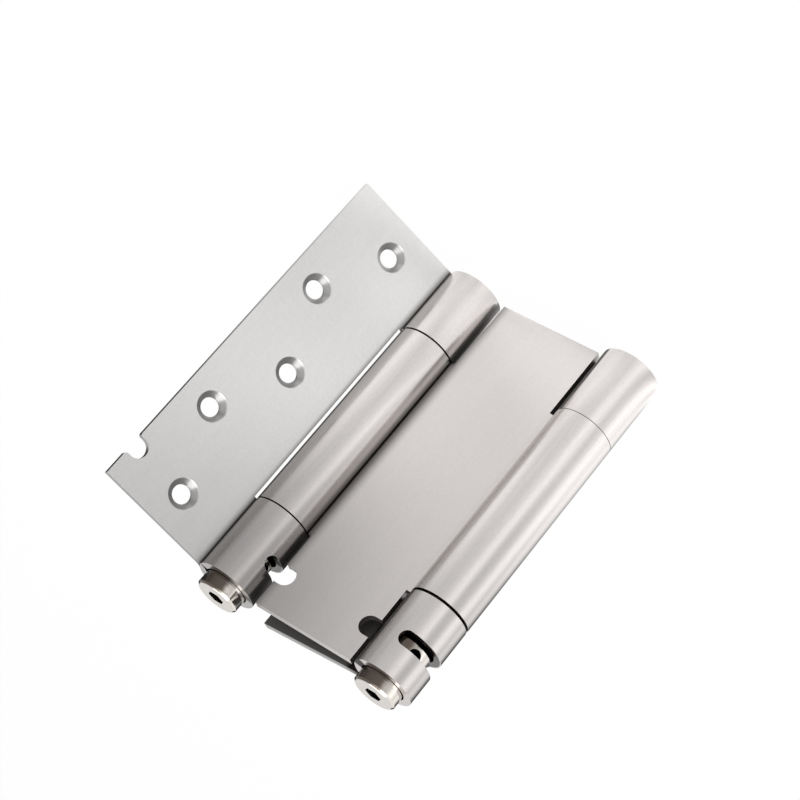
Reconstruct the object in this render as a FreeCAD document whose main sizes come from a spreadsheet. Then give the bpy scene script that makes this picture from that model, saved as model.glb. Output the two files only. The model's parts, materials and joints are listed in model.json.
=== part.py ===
import FreeCAD, Part
import math
import os
import Sketcher

# Double-acting spring hinge for a swinging door, in millimetres, +Z up.
# Two rolled leaves and a centre web meet in two barrels, and each barrel holds a
# torsion spring and the spindle that winds it.
# The origin is the middle hole of the jamb leaf's line of three, on the face that
# lies against the jamb. The jamb leaf runs along +X and its wall is on the +Y side.

# Each size is a name, a number and what it measures.
SIZES = [
    ("leaf_length", 125, "leaves and web along the barrels"),
    ("leaf_width", 49, "barrel axis to a leaf's outer edge"),
    ("axis_spacing", 60, "between the two barrel axes"),
    ("sheet", 2.5, "thickness of the leaves and the web"),
    ("barrel_radius", 10, "outside of a knuckle"),
    ("leaf_face", 2, "a leaf's inner face behind its barrel axis"),
    ("bend_inside", 3.5, "inside radius of the bend from plate to knuckle"),
    ("seam_gap", 0.2, "left where a rolled knuckle closes on its bend"),
    ("plain_knuckle", 25.4, "length of a leaf's plain knuckle"),
    ("adjuster_knuckle", 26.5, "length of a leaf's knuckle round the spindle"),
    ("plain_play", 0.6, "jamb leaf's plain knuckle to the web's"),
    ("adjuster_play", 0.5, "jamb leaf's adjuster knuckle to the web's"),
    ("door_lift", 0.4, "door leaf sits this much further up"),
    ("leaf_cut_gap", 0.7, "leaf's cut-back edge to the web's knuckle"),
    ("web_cut_gap", 2, "web's cut-back edge to a leaf's knuckle"),
    ("web_angle", 226, "direction of the web from the jamb barrel, degrees"),
    ("door_angle", 56, "direction of the door leaf, degrees"),
    ("edge_to_holes", 10.3, "leaf's outer edge to the two-hole line"),
    ("column_step", 11.1, "between the two-hole and the three-hole line"),
    ("end_to_holes", 11.5, "leaf's ends to the outermost holes"),
    ("screw_hole", 6, "diameter of a screw hole"),
    ("screw_sink", 9.8, "diameter of its countersink"),
    ("sink_angle", 90, "of the countersink, degrees"),
    ("bar_drop", 11.8, "slots and notches for the tension bar below the upper end"),
    ("notch_radius", 3.3, "of the half-round notches"),
    ("leaf_notch", 5.2, "depth of the notch in a leaf's outer edge"),
    ("web_notch", 5.3, "depth of the notches in the web's cut-back edges"),
    ("mouth_radius", 1, "rounding of a notch's mouth"),
    ("slot_width", 5, "slot round an adjuster knuckle"),
    ("slot_start", 112, "first end of the slot, degrees clockwise from the leaf"),
    ("slot_end", 250, "last end of the slot, degrees clockwise from the leaf"),
    ("fixed_fit", 0.02, "radial clearance of what is pressed or pinned"),
    ("turning_fit", 0.04, "radial clearance of what turns"),
    ("washer_fit", 0.3, "radial clearance of a thrust washer"),
    ("washer_play", 0.05, "thrust washer to its neighbour along the axis"),
    ("washer", 1.5, "thickness of a thrust washer"),
    ("bush_wall", 2.94, "thickness of a bush's wall"),
    ("nose_fit", 0.2, "radial clearance of the slotted noses in the spring"),
    ("nose_length", 4.7, "of the slotted noses"),
    ("tang_fit", 0.2, "clearance on each side of a tang in its slot"),
    ("tang_depth", 3.4, "depth of the slot across a nose"),
    ("plug_setback", 2.5, "plug's end inside the plain knuckle's end"),
    ("bush_setback", 2, "plain bush inside the plain knuckle's end"),
    ("plug_body", 11.7, "length of a plug's body in the web's knuckle"),
    ("plug_pin_radius", 1.5, "of the cross pin that fixes a plug"),
    ("adjuster_bush", 11.5, "length of the bush round a spindle's journal"),
    ("collar", 4, "length of a spindle's collar"),
    ("head_gap", 0.4, "radial gap round a spindle's head"),
    ("neck_depth", 2, "undercut between a spindle's collar and its head"),
    ("head_land", 0.9, "left of a head below its bar holes"),
    ("spindle_proud", 4.85, "spindle's face above the leaf's end"),
    ("edge_break", 0.7, "chamfer round a spindle's face"),
    ("small_break", 0.4, "chamfer at the hidden ends of pins and plugs"),
    ("hex_socket", 5, "across the flats of a spindle's socket"),
    ("hex_depth", 8, "depth of a spindle's socket"),
    ("bar_hole", 4.2, "diameter of the holes for the tension bar"),
    ("bar_hole_rise", 2.2, "bar holes above the slots while the spring is slack"),
    ("jamb_hole_turn", 4, "jamb bar holes round from the spring's tang slot, degrees"),
    ("door_hole_turn", 44, "door bar holes round from the spring's tang slot, degrees"),
    ("wire_radius", 1.4, "of the spring wire"),
    ("coil_gap", 0.1, "least gap between two coils"),
    ("spring_fit", 0.5, "radial clearance of the spring in its knuckle"),
]

# Each of these follows from the sizes above.
WORKED = [
    ("bore", "Sizes.barrel_radius - Sizes.sheet"),
    ("journal", "bore - Sizes.fixed_fit - Sizes.bush_wall - Sizes.turning_fit"),
    ("head", "bore - Sizes.head_gap"),
    ("neck", "head - Sizes.neck_depth"),
    ("coil_radius", "bore - Sizes.spring_fit - Sizes.wire_radius"),
    ("nose", "coil_radius - Sizes.wire_radius - Sizes.nose_fit"),
    ("tang_slot", "2 * (Sizes.wire_radius + Sizes.tang_fit)"),
    ("far_column", "Sizes.leaf_width - Sizes.edge_to_holes"),
    ("near_column", "far_column - Sizes.column_step"),
    ("hole_pitch", "Sizes.leaf_length / 2 - Sizes.end_to_holes"),
    ("bar_height", "Sizes.leaf_length - Sizes.bar_drop"),
    ("head_start", "bar_height + Sizes.bar_hole_rise - Sizes.bar_hole / 2 - Sizes.head_land"),
    ("bend_outside", "Sizes.bend_inside + Sizes.sheet"),
    ("bend_reach", "Sizes.barrel_radius + Sizes.bend_inside"),
    ("seam_turn", "acos((Sizes.barrel_radius^2 + bend_reach^2 - (bend_outside + Sizes.seam_gap)^2)"
                  " / (2 * Sizes.barrel_radius * bend_reach))"),
    ("leaf_back", "Sizes.leaf_face + Sizes.sheet"),
    ("leaf_bend_y", "leaf_back + Sizes.bend_inside"),
    ("leaf_turn", "asin(leaf_bend_y / bend_reach)"),
    ("leaf_bend_x", "bend_reach * cos(leaf_turn)"),
    ("leaf_seam", "leaf_turn - seam_turn"),
    ("web_bend_y", "-(Sizes.sheet / 2 + Sizes.bend_inside)"),
    ("web_turn", "asin(-web_bend_y / bend_reach)"),
    ("web_bend_x", "bend_reach * cos(web_turn)"),
    ("web_seam", "web_turn - seam_turn"),
    ("leaf_cut", "Sizes.barrel_radius + Sizes.leaf_cut_gap"),
    ("web_cut", "Sizes.barrel_radius + Sizes.web_cut_gap"),
    ("outside", "2 * Sizes.barrel_radius"),
    ("upper_knuckle", "Sizes.leaf_length - Sizes.adjuster_knuckle"),
    ("web_start", "Sizes.plain_knuckle + Sizes.plain_play"),
    ("web_end", "upper_knuckle - Sizes.adjuster_play"),
    ("low_washer", "web_start + Sizes.washer_play"),
    ("plug_shoulder", "low_washer + Sizes.washer + Sizes.washer_play"),
    ("plug_top", "plug_shoulder + Sizes.plug_body"),
    ("plug_nose", "plug_top + Sizes.nose_length"),
    ("pin_height", "plug_shoulder + Sizes.plug_body / 2"),
    ("high_washer", "web_end + Sizes.washer_play"),
    ("collar_start", "high_washer + Sizes.washer + Sizes.washer_play"),
    ("collar_end", "collar_start + Sizes.collar"),
    ("high_bush", "web_end - Sizes.adjuster_bush"),
    ("spindle_nose", "high_bush - Sizes.nose_length"),
    ("spindle_face", "Sizes.leaf_length + Sizes.spindle_proud"),
    ("spring_start", "plug_nose - Sizes.tang_depth + tang_slot / 2"),
    ("spring_end", "spindle_nose + Sizes.tang_depth - tang_slot / 2"),
    ("coils", "floor((spring_end - spring_start) / (2 * Sizes.wire_radius + Sizes.coil_gap))"),
    ("coil_pitch", "(spring_end - spring_start) / coils"),
    ("hex_corner", "Sizes.hex_socket / 2 / cos(30)"),
    ("back_of_jamb_x", "-near_column"),
    ("back_of_jamb_y", "-leaf_back"),
    ("mid_height", "Sizes.leaf_length / 2"),
]

doc = FreeCAD.newDocument("double_action_cafe_hinge")
sizes = doc.addObject("Spreadsheet::Sheet", "Sizes")
for row, (name, number, meaning) in enumerate(SIZES, 1):
    sizes.set("A%d" % row, meaning)
    sizes.set("B%d" % row, str(number))
    sizes.setAlias("B%d" % row, name)
doc.recompute()
worked = doc.addObject("Spreadsheet::Sheet", "Worked")
for row, (name, formula) in enumerate(WORKED, 1):
    worked.set("A%d" % row, name)
    worked.set("B%d" % row, "=" + formula)
    worked.setAlias("B%d" % row, name)
doc.recompute()


def value(expression):
    """What an expression on the two sheets comes to."""
    result = sizes.evalExpression(expression)
    return float(getattr(result, "Value", result))


def new_body(name):
    body = doc.addObject("PartDesign::Body", name)
    body.Label = name
    return body


def new_sketch(body, name, plane, offset="0"):
    """An empty sketch on one of the body's own planes, moved along its normal."""
    sketch = body.newObject("Sketcher::SketchObject", body.Name + "_" + name)
    origin_plane = next(f for f in body.Origin.OriginFeatures if f.Role == plane)
    sketch.AttachmentSupport = (origin_plane, [""])
    sketch.MapMode = "FlatFace"
    sketch.setExpression("AttachmentOffset.Base.z", offset)
    return sketch


def hold(sketch, kind, curve, point, expression):
    """Bind one coordinate of a sketch point to an expression."""
    index = sketch.addConstraint(Sketcher.Constraint(kind, curve, point, value(expression)))
    sketch.setExpression("Constraints[%d]" % index, expression)


def draw(sketch, start, *steps):
    """A closed outline. A step is (x, y) for a line, or (x, y, centre x, centre y, turn)
    for an arc that turns left (1) or right (-1)."""
    first = sketch.GeometryCount
    here = start
    ends = []
    for step in steps:
        x0, y0, x1, y1 = (value(e) for e in (here[0], here[1], step[0], step[1]))
        if len(step) == 2:
            line = Part.LineSegment(FreeCAD.Vector(x0, y0), FreeCAD.Vector(x1, y1))
            sketch.addGeometry(line, False)
            ends.append((1, 2))
        else:
            cx, cy = value(step[2]), value(step[3])
            circle = Part.Circle(FreeCAD.Vector(cx, cy), FreeCAD.Vector(0, 0, 1), math.hypot(x0 - cx, y0 - cy))
            a0, a1 = math.atan2(y0 - cy, x0 - cx), math.atan2(y1 - cy, x1 - cx)
            if step[4] > 0:
                sketch.addGeometry(Part.ArcOfCircle(circle, a0, a1), False)
                ends.append((1, 2))
            else:
                sketch.addGeometry(Part.ArcOfCircle(circle, a1, a0), False)
                ends.append((2, 1))
        here = step[:2]
    here = start
    for number, step in enumerate(steps):
        curve = first + number
        after = (number + 1) % len(steps)
        joint = Sketcher.Constraint("Coincident", curve, ends[number][1], first + after, ends[after][0])
        sketch.addConstraint(joint)
        hold(sketch, "DistanceX", curve, ends[number][0], here[0])
        hold(sketch, "DistanceY", curve, ends[number][0], here[1])
        if len(step) > 2:
            across = abs(value(here[0]) - value(step[0]))
            along = abs(value(here[1]) - value(step[1]))
            if along > across:
                hold(sketch, "DistanceX", curve, 3, step[2])
            else:
                hold(sketch, "DistanceY", curve, 3, step[3])
        here = step[:2]


def draw_box(sketch, x0, y0, x1, y1):
    draw(sketch, (x0, y0), (x1, y0), (x1, y1), (x0, y1), (x0, y0))


def draw_hole(sketch, x, y, radius):
    circle = Part.Circle(FreeCAD.Vector(value(x), value(y)), FreeCAD.Vector(0, 0, 1), value(radius))
    curve = sketch.addGeometry(circle, False)
    hold(sketch, "DistanceX", curve, 3, x)
    hold(sketch, "DistanceY", curve, 3, y)
    index = sketch.addConstraint(Sketcher.Constraint("Radius", curve, value(radius)))
    sketch.setExpression("Constraints[%d]" % index, radius)


def pad(body, sketch, length):
    feature = body.newObject("PartDesign::Pad", sketch.Name + "_pad")
    feature.Profile = sketch
    feature.setExpression("Length", length)
    return feature


def cut(body, sketch, length=None):
    """Cut a sketch both ways through the body, or up along +Z by a length."""
    feature = body.newObject("PartDesign::Pocket", sketch.Name + "_cut")
    feature.Profile = sketch
    if length is None:
        feature.Type = "ThroughAll"
        feature.SideType = "Symmetric"
    else:
        feature.Type = "Length"
        feature.Reversed = True
        feature.setExpression("Length", length)
    return feature


def turn(body, sketch):
    feature = body.newObject("PartDesign::Revolution", sketch.Name + "_turned")
    feature.Profile = sketch
    feature.ReferenceAxis = (sketch, ["V_Axis"])
    feature.Angle = 360
    return feature


def drill(body, name, radius, length, x, y, height, angle):
    """Take a level round bar out of a body, from x, y, height along an angle."""
    bar = body.newObject("PartDesign::SubtractiveCylinder", body.Name + "_" + name)
    bar.setExpression("Radius", radius)
    bar.setExpression("Height", length)
    set_place(bar, x, y, height, angle, "90")
    return bar


def set_place(thing, x, y, height, angle="0", tilt="0"):
    """Bind a placement: +Z tilted towards +X, then the whole turned by angle about +Z."""
    place = "placement(vector(%s; %s; %s); rotation(%s; %s; 0))" % (x, y, height, angle, tilt)
    thing.setExpression("Placement", place)


# Where each barrel stands, and how the leaf on it is turned and lifted.
BARREL = {
    "jamb": ("Worked.back_of_jamb_x", "Worked.back_of_jamb_y"),
    "door": ("Worked.back_of_jamb_x + Sizes.axis_spacing * cos(Sizes.web_angle)",
             "Worked.back_of_jamb_y + Sizes.axis_spacing * sin(Sizes.web_angle)"),
}
LEAF_ANGLE = {"jamb": "0", "door": "Sizes.door_angle"}
LEAF_LIFT = {"jamb": "-Worked.mid_height", "door": "Sizes.door_lift - Worked.mid_height"}
WEB_LIFT = "-Worked.mid_height"


def on_circle(radius, angle, x="0", y="0", flip=1):
    """Expressions for a point on a circle. A flip of -1 mirrors its height."""
    sign = "" if flip > 0 else "-"
    return ("%s + %s * cos(%s)" % (x, radius, angle), "%s + %s%s * sin(%s)" % (y, sign, radius, angle))


def leaf(side):
    """One sheet: a plate behind the barrel axis, a reverse bend, and an edge rolled
    round the back of the barrel until it closes on the bend."""
    body = new_body(side + "_leaf")
    bend = ("Worked.leaf_bend_x", "Worked.leaf_bend_y")
    bore_start = on_circle("Worked.bore", "Worked.leaf_turn")
    bore_end = on_circle("Worked.bore", "Worked.leaf_seam")
    rim_end = on_circle("Sizes.barrel_radius", "Worked.leaf_seam")
    rim_start = on_circle("Sizes.barrel_radius", "Worked.leaf_turn")
    section = new_sketch(body, "section", "XY_Plane")
    draw(section,
         ("Sizes.leaf_width", "Sizes.leaf_face"),
         ("Worked.leaf_bend_x", "Sizes.leaf_face"),
         (*bore_start, *bend, -1),
         (*bore_end, "0", "0", 1),
         rim_end,
         (*rim_start, "0", "0", -1),
         ("Worked.leaf_bend_x", "Worked.leaf_back", *bend, 1),
         ("Sizes.leaf_width", "Worked.leaf_back"),
         ("Sizes.leaf_width", "Sizes.leaf_face"))
    pad(body, section, "Sizes.leaf_length")

    window = new_sketch(body, "window", "XZ_Plane")
    draw_box(window, "-Worked.outside", "Sizes.plain_knuckle", "Worked.leaf_cut", "Worked.upper_knuckle")
    cut(body, window)

    notch_end = "Sizes.leaf_width - Sizes.leaf_notch + Sizes.notch_radius"
    mouth_x = "Sizes.leaf_width - Sizes.mouth_radius"
    low = "Worked.bar_height - Sizes.notch_radius"
    high = "Worked.bar_height + Sizes.notch_radius"
    past = "Sizes.leaf_width + Sizes.sheet"
    notch = new_sketch(body, "notch", "XZ_Plane")
    draw(notch,
         (past, low + " - Sizes.mouth_radius"),
         (past, high + " + Sizes.mouth_radius"),
         ("Sizes.leaf_width", high + " + Sizes.mouth_radius"),
         (mouth_x, high, mouth_x, high + " + Sizes.mouth_radius", -1),
         (notch_end, high),
         (notch_end, low, notch_end, "Worked.bar_height", 1),
         (mouth_x, low),
         ("Sizes.leaf_width", low + " - Sizes.mouth_radius", mouth_x, low + " - Sizes.mouth_radius", -1),
         (past, low + " - Sizes.mouth_radius"))
    cut(body, notch)

    holes = new_sketch(body, "holes", "XZ_Plane", "-Sizes.leaf_face")
    for step in (-1, 0, 1):
        draw_hole(holes, "Worked.near_column", "Worked.mid_height + %d * Worked.hole_pitch" % step,
                  "Sizes.screw_hole / 2")
    for step in (-1, 1):
        draw_hole(holes, "Worked.far_column", "Worked.mid_height + %d * Worked.hole_pitch / 2" % step,
                  "Sizes.screw_hole / 2")
    doc.recompute()
    screws = body.newObject("PartDesign::Hole", side + "_leaf_screw_holes")
    screws.Profile = holes
    screws.DepthType = "ThroughAll"
    screws.HoleCutType = "Countersink"
    screws.setExpression("Diameter", "Sizes.screw_hole")
    screws.setExpression("HoleCutDiameter", "Sizes.screw_sink")
    screws.setExpression("HoleCutCountersinkAngle", "Sizes.sink_angle")
    doc.recompute()

    inner, outer = "(Worked.bore - Sizes.sheet)", "(Sizes.barrel_radius + Sizes.sheet)"
    slot = new_sketch(body, "slot", "XY_Plane", "Worked.bar_height - Sizes.slot_width / 2")
    draw(slot,
         on_circle(inner, "Sizes.slot_start", flip=-1),
         on_circle(outer, "Sizes.slot_start", flip=-1),
         (*on_circle(outer, "Sizes.slot_end", flip=-1), "0", "0", -1),
         on_circle(inner, "Sizes.slot_end", flip=-1),
         (*on_circle(inner, "Sizes.slot_start", flip=-1), "0", "0", 1))
    cut(body, slot, "Sizes.slot_width")
    for end in ("slot_start", "slot_end"):
        drill(body, end, "Sizes.slot_width / 2", outer, "0", "0", "Worked.bar_height", "-Sizes." + end)
    set_place(body, *BARREL[side], LEAF_LIFT[side], LEAF_ANGLE[side])
    return body


def web():
    """One sheet: a flat plate in the plane of the two axes, with a reverse bend and a
    rolled knuckle at both edges, all towards the web's back."""
    body = new_body("centre_web")
    far = "Sizes.axis_spacing"
    front, back = "Sizes.sheet / 2", "-Sizes.sheet / 2"

    def mirrored(point):
        return ("%s - (%s)" % (far, point[0]), point[1])

    start = ("Worked.web_bend_x", front)
    bend = ("Worked.web_bend_x", "Worked.web_bend_y")
    bore_start = on_circle("Worked.bore", "Worked.web_turn", flip=-1)
    bore_end = on_circle("Worked.bore", "Worked.web_seam", flip=-1)
    rim_end = on_circle("Sizes.barrel_radius", "Worked.web_seam", flip=-1)
    rim_start = on_circle("Sizes.barrel_radius", "Worked.web_turn", flip=-1)
    plate_back = ("Worked.web_bend_x", back)
    section = new_sketch(body, "section", "XY_Plane")
    draw(section,
         start,
         (*bore_start, *bend, 1),
         (*bore_end, "0", "0", -1),
         rim_end,
         (*rim_start, "0", "0", 1),
         (*plate_back, *bend, -1),
         mirrored(plate_back),
         (*mirrored(rim_start), *mirrored(bend), -1),
         (*mirrored(rim_end), far, "0", 1),
         mirrored(bore_end),
         (*mirrored(bore_start), far, "0", -1),
         (*mirrored(start), *mirrored(bend), 1),
         start)
    pad(body, section, "Sizes.leaf_length")

    room = new_sketch(body, "knuckle_room", "XZ_Plane")
    for low, high in (("-Worked.outside", "Worked.web_start"),
                      ("Worked.web_end", "Sizes.leaf_length + Worked.outside")):
        draw_box(room, "-Worked.outside", low, "Worked.web_cut", high)
        draw_box(room, far + " - Worked.web_cut", low, far + " + Worked.outside", high)
    cut(body, room)

    notch_end = "Worked.web_cut + Sizes.web_notch - Sizes.notch_radius"
    past = "Worked.web_cut - Sizes.sheet"
    low = "Worked.bar_height - Sizes.notch_radius"
    high = "Worked.bar_height + Sizes.notch_radius"
    notch = new_sketch(body, "notches", "XZ_Plane")
    draw(notch, (past, low), (notch_end, low),
         (notch_end, high, notch_end, "Worked.bar_height", 1),
         (past, high), (past, low))
    draw(notch, mirrored((past, low)), mirrored((past, high)), mirrored((notch_end, high)),
         (*mirrored((notch_end, low)), *mirrored((notch_end, "Worked.bar_height")), 1),
         mirrored((past, low)))
    cut(body, notch)
    for name, x in (("jamb_pin_hole", "0"), ("door_pin_hole", far)):
        drill(body, name, "Sizes.plug_pin_radius + Sizes.fixed_fit", "Worked.outside",
              x, "0", "Worked.pin_height", "-90")
    set_place(body, *BARREL["jamb"], WEB_LIFT, "Sizes.web_angle")
    return body


def pivot_plug(side):
    """Turned plug pinned in the web's knuckle: journal, body and slotted nose."""
    body = new_body(side + "_pivot_plug")
    tip, body_radius = "Sizes.plug_setback", "Worked.bore - Sizes.fixed_fit"
    profile = new_sketch(body, "profile", "XZ_Plane")
    draw(profile, ("0", tip),
         ("Worked.journal - Sizes.small_break", tip),
         ("Worked.journal", tip + " + Sizes.small_break"),
         ("Worked.journal", "Worked.plug_shoulder"),
         (body_radius, "Worked.plug_shoulder"),
         (body_radius, "Worked.plug_top"),
         ("Worked.nose", "Worked.plug_top"),
         ("Worked.nose", "Worked.plug_nose"),
         ("0", "Worked.plug_nose"), ("0", tip))
    turn(body, profile)
    slot = new_sketch(body, "tang_slot", "YZ_Plane")
    draw_box(slot, "-Worked.tang_slot / 2", "Worked.plug_nose - Sizes.tang_depth",
             "Worked.tang_slot / 2", "Worked.plug_nose + Sizes.tang_depth")
    cut(body, slot)
    drill(body, "pin_hole", "Sizes.plug_pin_radius + Sizes.fixed_fit", "Worked.outside",
          "0", "0", "Worked.pin_height", "-90")
    set_place(body, *BARREL[side], WEB_LIFT, "Sizes.web_angle")
    return body


def adjusting_spindle(side):
    """Turned spindle: slotted nose, journal, collar, neck and head, with a hex socket in
    the face and four radial holes that a tension bar turns it by."""
    body = new_body(side + "_adjusting_spindle")
    head, face = "Worked.head", "Worked.spindle_face"
    collar = "Worked.bore - Sizes.turning_fit"
    profile = new_sketch(body, "profile", "XZ_Plane")
    draw(profile, ("0", "Worked.spindle_nose"),
         ("Worked.nose", "Worked.spindle_nose"),
         ("Worked.nose", "Worked.high_bush"),
         ("Worked.journal", "Worked.high_bush"),
         ("Worked.journal", "Worked.collar_start"),
         (collar, "Worked.collar_start"),
         (collar, "Worked.collar_end"),
         ("Worked.neck", "Worked.collar_end"),
         ("Worked.neck", "Worked.head_start"),
         (head, "Worked.head_start"),
         (head, face + " - Sizes.edge_break"),
         (head + " - Sizes.edge_break", face),
         ("0", face), ("0", "Worked.spindle_nose"))
    turn(body, profile)
    slot = new_sketch(body, "tang_slot", "YZ_Plane")
    draw_box(slot, "-Worked.tang_slot / 2", "Worked.spindle_nose - Sizes.tang_depth",
             "Worked.tang_slot / 2", "Worked.spindle_nose + Sizes.tang_depth")
    cut(body, slot)
    hexagon = new_sketch(body, "hex_socket", "XY_Plane", face + " - Sizes.hex_depth")
    corners = [on_circle("Worked.hex_corner", str(60 * step)) for step in range(6)]
    draw(hexagon, corners[0], *corners[1:], corners[0])
    cut(body, hexagon, "2 * Sizes.hex_depth")
    hole_turn = "Sizes.%s_hole_turn" % side
    for name, angle in (("bar_hole", hole_turn), ("cross_bar_hole", "(%s + 90)" % hole_turn)):
        drill(body, name, "Sizes.bar_hole / 2", "2 * Worked.outside",
              "-Worked.outside * cos(%s)" % angle, "-Worked.outside * sin(%s)" % angle,
              "Worked.bar_height + Sizes.bar_hole_rise", angle)
    set_place(body, *BARREL[side], WEB_LIFT, "Sizes.web_angle")
    return body


def ring(name, side, outside, inside, low, length, lift=WEB_LIFT):
    """A plain ring on a barrel's axis."""
    rim = doc.addObject("Part::Cylinder", name + "_rim")
    rim.setExpression("Radius", outside)
    hole = doc.addObject("Part::Cylinder", name + "_bore")
    hole.setExpression("Radius", inside)
    for piece in (rim, hole):
        piece.setExpression("Height", length)
        piece.setExpression("Placement.Base.z", low)
    whole = doc.addObject("Part::Cut", name)
    whole.Base = rim
    whole.Tool = hole
    whole.Label = name
    set_place(whole, *BARREL[side], lift)
    return whole


def plug_pin(side):
    """Pin from the back of the web's knuckle into the plug, flush with the knuckle."""
    bar = doc.addObject("Part::Cylinder", side + "_plug_pin_bar")
    bar.setExpression("Radius", "Sizes.plug_pin_radius")
    bar.setExpression("Height", "Worked.outside")
    set_place(bar, "0", "0", "Worked.pin_height", "-90", "90")
    knuckle = doc.addObject("Part::Cylinder", side + "_plug_pin_reach")
    knuckle.setExpression("Radius", "Sizes.barrel_radius")
    knuckle.setExpression("Height", "Sizes.leaf_length")
    pin = doc.addObject("Part::Common", side + "_plug_pin")
    pin.Base = bar
    pin.Tool = knuckle
    pin.Label = side + "_plug_pin"
    set_place(pin, *BARREL[side], WEB_LIFT, "Sizes.web_angle")
    return pin


def torsion_spring(side):
    """Round wire wound in the web's knuckle, with a straight tang across the barrel at
    each end that lies in the slot of a nose."""
    helix = doc.addObject("Part::Helix", side + "_spring_line")
    helix.setExpression("Radius", "Worked.coil_radius")
    helix.setExpression("Pitch", "Worked.coil_pitch")
    helix.setExpression("Height", "Worked.spring_end - Worked.spring_start")
    helix.setExpression("Placement.Base.z", "Worked.spring_start")
    wire = doc.addObject("Part::Circle", side + "_spring_wire")
    wire.setExpression("Radius", "Sizes.wire_radius")
    wire.Placement.Rotation = FreeCAD.Rotation(FreeCAD.Vector(1, 0, 0), 90)
    wire.setExpression("Placement.Base.x", "Worked.coil_radius")
    wire.setExpression("Placement.Base.z", "Worked.spring_start")
    coil = doc.addObject("Part::Sweep", side + "_spring_coil")
    coil.Sections = [wire]
    coil.Spine = (helix, [])
    coil.Solid = True
    coil.Frenet = True
    pieces = [coil]
    for end in ("start", "end"):
        tang = doc.addObject("Part::Cylinder", side + "_tang_at_" + end)
        tang.setExpression("Radius", "Sizes.wire_radius")
        tang.setExpression("Height", "Worked.coil_radius + Worked.nose")
        set_place(tang, "-Worked.nose", "0", "Worked.spring_" + end, "0", "90")
        knee = doc.addObject("Part::Sphere", side + "_knee_at_" + end)
        knee.setExpression("Radius", "Sizes.wire_radius")
        set_place(knee, "Worked.coil_radius", "0", "Worked.spring_" + end)
        pieces += [tang, knee]
    spring = doc.addObject("Part::MultiFuse", side + "_torsion_spring")
    spring.Shapes = pieces
    spring.Label = side + "_torsion_spring"
    set_place(spring, *BARREL[side], WEB_LIFT, "Sizes.web_angle")
    return spring


parts = [web()]
for side in ("jamb", "door"):
    parts.append(leaf(side))
    parts.append(ring(side + "_plain_bush", side, "Worked.bore - Sizes.fixed_fit",
                      "Worked.journal + Sizes.turning_fit", "Sizes.bush_setback",
                      "Sizes.plain_knuckle - Sizes.bush_setback", LEAF_LIFT[side]))
    parts.append(pivot_plug(side))
    parts.append(plug_pin(side))
    parts.append(ring(side + "_plain_thrust_washer", side, "Worked.bore - Sizes.washer_fit",
                      "Worked.journal + Sizes.washer_fit", "Worked.low_washer", "Sizes.washer"))
    parts.append(torsion_spring(side))
    parts.append(adjusting_spindle(side))
    parts.append(ring(side + "_adjuster_bush", side, "Worked.bore - Sizes.fixed_fit",
                      "Worked.journal + Sizes.turning_fit", "Worked.high_bush",
                      "Sizes.adjuster_bush"))
    parts.append(ring(side + "_adjuster_thrust_washer", side, "Worked.bore - Sizes.washer_fit",
                      "Worked.journal + Sizes.washer_fit", "Worked.high_washer", "Sizes.washer"))
doc.recompute()

for thing in doc.Objects:
    if "Invalid" in thing.State or "Error" in thing.State:
        raise RuntimeError("%s is %s" % (thing.Label, thing.State))
for part in parts:
    if part.Shape.isNull() or not part.Shape.isValid():
        raise RuntimeError("%s has no sound shape" % part.Label)

os.makedirs("parts", exist_ok=True)
for part in parts:
    part.Shape.exportStep("parts/%s.step" % part.Label)
    box = part.Shape.BoundBox
    print("%-32s %d solid %10.2f mm3  z %.2f to %.2f" % (
        part.Label, len(part.Shape.Solids), part.Shape.Volume, box.ZMin, box.ZMax))
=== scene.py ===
import json
import math
from collections import namedtuple

import bmesh
import bpy
from bpy.props import FloatProperty, FloatVectorProperty, PointerProperty
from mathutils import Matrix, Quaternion, Vector


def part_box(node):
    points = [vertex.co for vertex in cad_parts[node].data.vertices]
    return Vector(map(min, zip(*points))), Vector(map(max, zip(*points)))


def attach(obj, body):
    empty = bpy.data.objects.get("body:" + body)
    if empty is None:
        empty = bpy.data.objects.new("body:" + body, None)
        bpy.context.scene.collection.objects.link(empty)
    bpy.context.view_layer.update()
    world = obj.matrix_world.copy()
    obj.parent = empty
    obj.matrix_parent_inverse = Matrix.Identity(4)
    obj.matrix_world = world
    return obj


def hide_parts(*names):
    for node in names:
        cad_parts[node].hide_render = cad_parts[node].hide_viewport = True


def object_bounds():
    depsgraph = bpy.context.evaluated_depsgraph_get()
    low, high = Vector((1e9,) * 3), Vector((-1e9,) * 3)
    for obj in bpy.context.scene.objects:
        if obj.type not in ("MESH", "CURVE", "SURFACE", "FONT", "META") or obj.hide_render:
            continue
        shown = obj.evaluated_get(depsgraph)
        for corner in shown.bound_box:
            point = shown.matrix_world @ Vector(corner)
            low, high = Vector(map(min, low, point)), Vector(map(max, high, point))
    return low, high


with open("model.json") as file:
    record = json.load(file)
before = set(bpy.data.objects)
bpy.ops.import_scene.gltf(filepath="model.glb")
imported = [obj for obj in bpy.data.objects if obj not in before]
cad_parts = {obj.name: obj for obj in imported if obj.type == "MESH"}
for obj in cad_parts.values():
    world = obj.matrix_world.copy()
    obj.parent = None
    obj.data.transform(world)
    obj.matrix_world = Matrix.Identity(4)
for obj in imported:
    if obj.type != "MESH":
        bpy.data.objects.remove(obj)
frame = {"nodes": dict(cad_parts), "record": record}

bl_info = {
    "name": "Double-acting spring hinge",
    "version": (1, 0, 0),
    "blender": (4, 5, 0),
    "location": "3D View > Sidebar > Hinge",
    "description": "Finishes the leaves, web, spindles and springs of a swing door hinge",
    "category": "Object",
}

CAD_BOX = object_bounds()
MM = 0.001
SIDES = ("jamb", "door")


def middle_of(node):
    """The middle of a node's box."""
    low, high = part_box(node)
    return (low + high) / 2


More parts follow.
